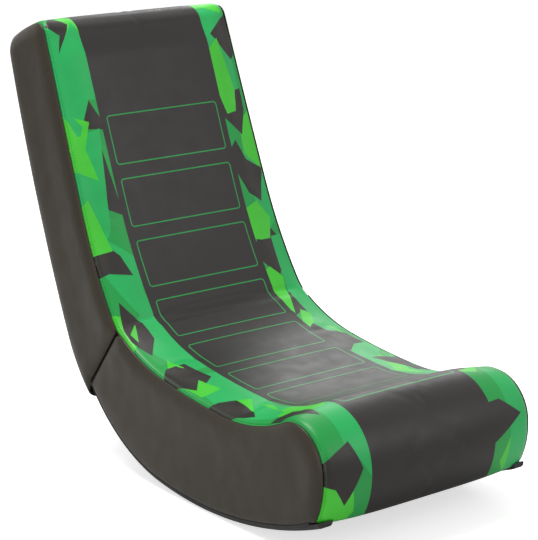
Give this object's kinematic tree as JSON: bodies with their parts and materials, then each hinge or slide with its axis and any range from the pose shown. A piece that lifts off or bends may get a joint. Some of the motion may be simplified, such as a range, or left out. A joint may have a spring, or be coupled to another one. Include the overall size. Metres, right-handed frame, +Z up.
{
  "type": "folding floor rocker chair",
  "caption": "Low folding rocker chair without legs: padded S-shaped seat and back with a green and black printed cover, dark side panels and curved floor rails.",
  "frame": {"origin": "middle of the whole chair in plan, on the floor plane under the rocker rails, with the back open", "axes": "+Z up, +Y from the front of the seat towards the back, +X to the right when the chair is looked at from its front towards +Y"},
  "size_m": [0.4096, 0.8408, 0.6937],
  "materials": {
    "printed_cover": "printed polyester cloth, satin",
    "side_leather": "smooth artificial leather",
    "backing_cloth": "black non-woven cloth",
    "foam": "open-cell foam",
    "frame_wood": "raw plywood",
    "fibreboard": "pressed fibreboard",
    "rail_plastic": "moulded black plastic",
    "pad_rubber": "black rubber",
    "zinc_screws": "zinc-plated steel",
    "hinge_steel": "zinc-plated steel",
    "tube_steel": "black painted steel tube"
  },
  "bodies": {
    "base": {"base_bottom_cover": "backing_cloth", "base_bottom_panel": "frame_wood", "base_fold_cover": "backing_cloth", "base_frame_screws": "zinc_screws", "base_hinge_leaf_left": "hinge_steel", "base_hinge_leaf_right": "hinge_steel", "base_hinge_rail": "frame_wood", "base_hinge_screws": "zinc_screws", "base_side_board_left": "frame_wood", "base_side_board_right": "frame_wood", "base_side_cover_left": "side_leather", "base_side_cover_right": "side_leather", "base_side_pad_left": "foam", "base_side_pad_right": "foam", "fold_strip": "printed_cover", "front_cross_tube": "tube_steel", "hinge_pins": "hinge_steel", "lower_cross_tube": "tube_steel", "nose_cross_tube": "tube_steel", "rail_screws": "zinc_screws", "rear_cross_rail": "frame_wood", "rocker_rail_left": "rail_plastic", "rocker_rail_right": "rail_plastic", "seat_cover": "printed_cover", "seat_cross_rail": "frame_wood", "seat_deck": "fibreboard", "seat_foam": "foam"},
    "back": {"back_cover": "printed_cover", "back_deck": "fibreboard", "back_foam": "foam", "back_fold_cover": "backing_cloth", "back_frame_screws": "zinc_screws", "back_hinge_leaf_left": "hinge_steel", "back_hinge_leaf_right": "hinge_steel", "back_hinge_rail": "frame_wood", "back_hinge_screws": "zinc_screws", "back_lower_rail": "frame_wood", "back_middle_rail": "frame_wood", "back_rear_cover": "backing_cloth", "back_side_board_left": "frame_wood", "back_side_board_right": "frame_wood", "back_side_cover_left": "side_leather", "back_side_cover_right": "side_leather", "back_side_pad_left": "foam", "back_side_pad_right": "foam", "back_top_rail": "frame_wood", "stop_pads": "pad_rubber"}
  },
  "joints": [
    {"name": "back_fold", "type": "hinge", "parent": "base", "child": "back", "pos_m": [0, 0.10358, 0.21916], "axis": [1, 0, 0], "range_deg": [0, 100], "deforming": ["fold_strip"]}
  ]
}
